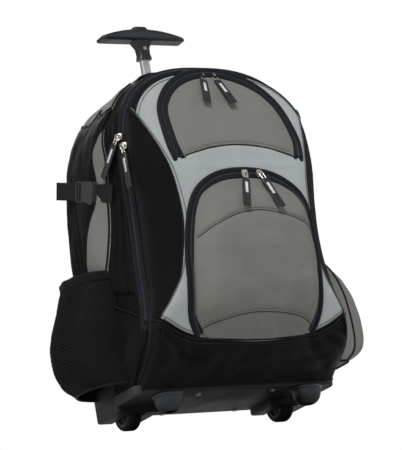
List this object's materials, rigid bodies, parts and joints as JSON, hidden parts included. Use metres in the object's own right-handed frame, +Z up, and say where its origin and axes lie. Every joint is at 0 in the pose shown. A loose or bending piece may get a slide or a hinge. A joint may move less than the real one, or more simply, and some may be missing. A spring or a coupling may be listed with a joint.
{
  "type": "wheeled laptop backpack",
  "caption": "Soft wheeled laptop backpack with zipped front pockets, side pockets, spinning wheels, front feet and a telescoping T-handle with a push button.",
  "frame": {"origin": "on the floor under the middle of the whole object's box", "axes": "+Z up along the pole, -Y towards the front pockets, +X to the viewer's right when facing the front"},
  "size_m": [0.482, 0.2715, 0.607],
  "materials": {
    "black_fabric": "woven polyester with a dull coating",
    "grey_fabric": "woven polyester, mid grey",
    "light_fabric": "woven polyester, light grey",
    "mesh": "knitted mesh",
    "elastic": "elastic hem",
    "webbing": "ribbed nylon webbing",
    "zipper": "coil zipper on woven tape",
    "slider": "nickel plated die casting",
    "pull": "moulded pull with a plain silver strip",
    "pad": "foam padded spacer mesh",
    "board": "polyethylene sheet",
    "sleeve": "foam padded divider",
    "base": "moulded, fine grain",
    "handle": "moulded, satin",
    "tube": "anodised, satin",
    "steel": "zinc plated",
    "tyre": "solid tread",
    "hub": "moulded",
    "bush": "acetal",
    "buckle": "moulded acetal"
  },
  "bodies": {
    "bag": {"axles": "steel", "back_pad": "pad", "base_screws": "steel", "base_tray": "base", "buckle_socket_left": "buckle", "buckle_socket_right": "buckle", "frame_board": "board", "front_compartment": "light_fabric", "front_feet": "base", "grab_handle": "webbing", "laptop_sleeve": "sleeve", "lower_boot": "black_fabric", "lower_pocket": "grey_fabric", "lower_sliders": "slider", "lower_zipper": "zipper", "main_sliders": "slider", "main_zipper": "zipper", "mesh_pocket": "mesh", "mesh_pocket_hem": "elastic", "outer_tube": "tube", "pole_collar": "base", "pole_foot": "base", "rear_compartment": "black_fabric", "side_pocket": "grey_fabric", "strap_cover": "black_fabric", "strap_webbing_left": "webbing", "strap_webbing_right": "webbing", "top_pocket": "grey_fabric", "top_sliders": "slider", "top_zipper": "zipper", "wheel_housing_left": "base", "wheel_housing_right": "base", "wing_left": "black_fabric", "wing_right": "black_fabric"},
    "wheel_left": {"tyre_left": "tyre", "hub_left": "hub", "bushings_left": "bush"},
    "wheel_right": {"tyre_right": "tyre", "hub_right": "hub", "bushings_right": "bush"},
    "middle_stage": {"middle_tube": "tube", "middle_guide": "handle"},
    "upper_stage": {"inner_tube": "tube", "foot_plug": "bush", "grip": "handle", "grip_screw": "steel", "button_spring": "steel"},
    "button": {"push_button": "handle", "release_rod": "steel"},
    "lock_pin": {"lock_pin": "steel"},
    "clip_left": {"buckle_plug_left": "buckle", "strap_tail_left": "webbing"},
    "clip_right": {"buckle_plug_right": "buckle", "strap_tail_right": "webbing"},
    "lower_pull_left": {"lower_pull_left": "pull"},
    "lower_pull_right": {"lower_pull_right": "pull"},
    "top_pull_left": {"top_pull_left": "pull"},
    "top_pull_right": {"top_pull_right": "pull"},
    "main_pull_rear": {"main_pull_rear": "pull"},
    "main_pull_front": {"main_pull_front": "pull"}
  },
  "joints": [
    {"name": "wheel_left_spin", "type": "hinge", "parent": "bag", "child": "wheel_left", "pos_m": [-0.125, 0.1065, 0.026], "axis": [1, 0, 0], "continuous": true},
    {"name": "wheel_right_spin", "type": "hinge", "parent": "bag", "child": "wheel_right", "pos_m": [0.125, 0.1065, 0.026], "axis": [1, 0, 0], "continuous": true},
    {"name": "pole_lower", "type": "slide", "parent": "bag", "child": "middle_stage", "axis": [0, 0, 1], "range_m": [0, 0.22]},
    {"name": "pole_upper", "type": "slide", "parent": "middle_stage", "child": "upper_stage", "axis": [0, 0, 1], "range_m": [-0.048, 0.2]},
    {"name": "button_press", "type": "slide", "parent": "upper_stage", "child": "button", "axis": [0, 0, -1], "range_m": [0, 0.004], "stiffness_N_per_m": 500, "springref_m": -0.003, "deforming": ["button_spring"]},
    {"name": "pin_retract", "type": "slide", "parent": "upper_stage", "child": "lock_pin", "axis": [-1, 0, 0], "range_m": [0, 0.002]},
    {"name": "clip_left_release", "type": "slide", "parent": "bag", "child": "clip_left", "axis": [0, 0.9336, 0.3584], "range_m": [0, 0.018]},
    {"name": "clip_right_release", "type": "slide", "parent": "bag", "child": "clip_right", "axis": [0, 0.9336, 0.3584], "range_m": [0, 0.018]},
    {"name": "lower_pull_left_swing", "type": "hinge", "parent": "bag", "child": "lower_pull_left", "pos_m": [0, -0.1098, 0.303], "axis": [-0.9244, 0, 0.3815], "range_deg": [0, 80]},
    {"name": "lower_pull_right_swing", "type": "hinge", "parent": "bag", "child": "lower_pull_right", "pos_m": [0.024, -0.1098, 0.303], "axis": [-0.9899, 0, -0.1414], "range_deg": [0, 80]},
    {"name": "top_pull_left_swing", "type": "hinge", "parent": "bag", "child": "top_pull_left", "pos_m": [-0.01, -0.0625, 0.465], "axis": [-0.9274, 0, 0.3742], "range_deg": [0, 80]},
    {"name": "top_pull_right_swing", "type": "hinge", "parent": "bag", "child": "top_pull_right", "pos_m": [0.008, -0.0625, 0.465], "axis": [-0.9986, 0, -0.0526], "range_deg": [0, 80]},
    {"name": "main_pull_rear_swing", "type": "hinge", "parent": "bag", "child": "main_pull_rear", "pos_m": [-0.1557, -0.0471, 0.378], "axis": [0, 0.7302, 0.6832], "range_deg": [0, 80]},
    {"name": "main_pull_front_swing", "type": "hinge", "parent": "bag", "child": "main_pull_front", "pos_m": [-0.1517, -0.0499, 0.364], "axis": [0, 0.9954, -0.0955], "range_deg": [0, 80]}
  ],
  "couplings": [
    {"joint": "pin_retract", "follows": "button_press", "ratio": 0.5}
  ]
}
